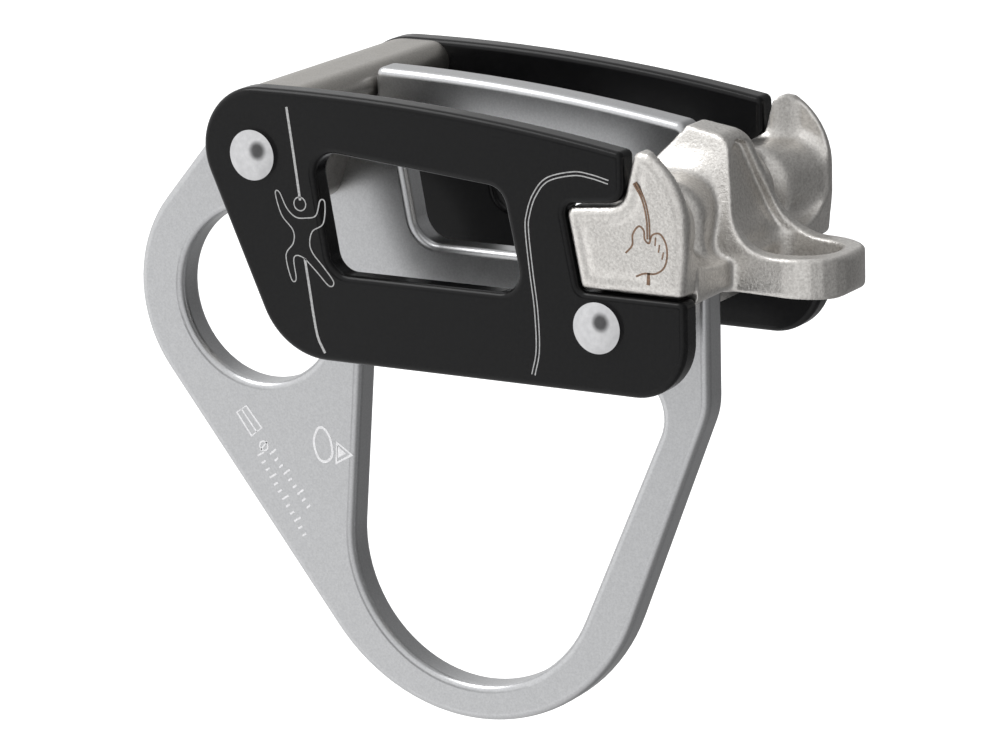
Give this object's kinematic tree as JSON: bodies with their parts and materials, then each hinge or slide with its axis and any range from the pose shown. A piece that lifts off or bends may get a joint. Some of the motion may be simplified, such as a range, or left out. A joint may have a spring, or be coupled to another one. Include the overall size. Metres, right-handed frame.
{
  "type": "belay device",
  "caption": "Tube-style belay device with guide hole, keeper loop, braking nose and release loop, for one or two ropes.",
  "frame": {"origin": "centre of the guide hole, on the middle plane of the centre plate", "axes": "+Z from the keeper loop towards the rope side, +X from the guide hole towards the braking nose, +Y along the guide hole's axis across the plates"},
  "size_m": [0.0908, 0.037, 0.0743],
  "materials": {
    "black_plate": "black anodised, satin",
    "bright_plate": "clear anodised, fine satin",
    "crossbar": "tumbled, warm grey",
    "casting": "bead blasted stainless casting",
    "rivet": "polished dome"
  },
  "bodies": {
    "root": {"side_plate_near": "black_plate", "side_plate_far": "black_plate", "centre_plate": "bright_plate", "rear_crossbar": "crossbar", "nose_casting": "casting", "rear_rivet": "rivet", "front_rivet": "rivet"}
  },
  "joints": []
}
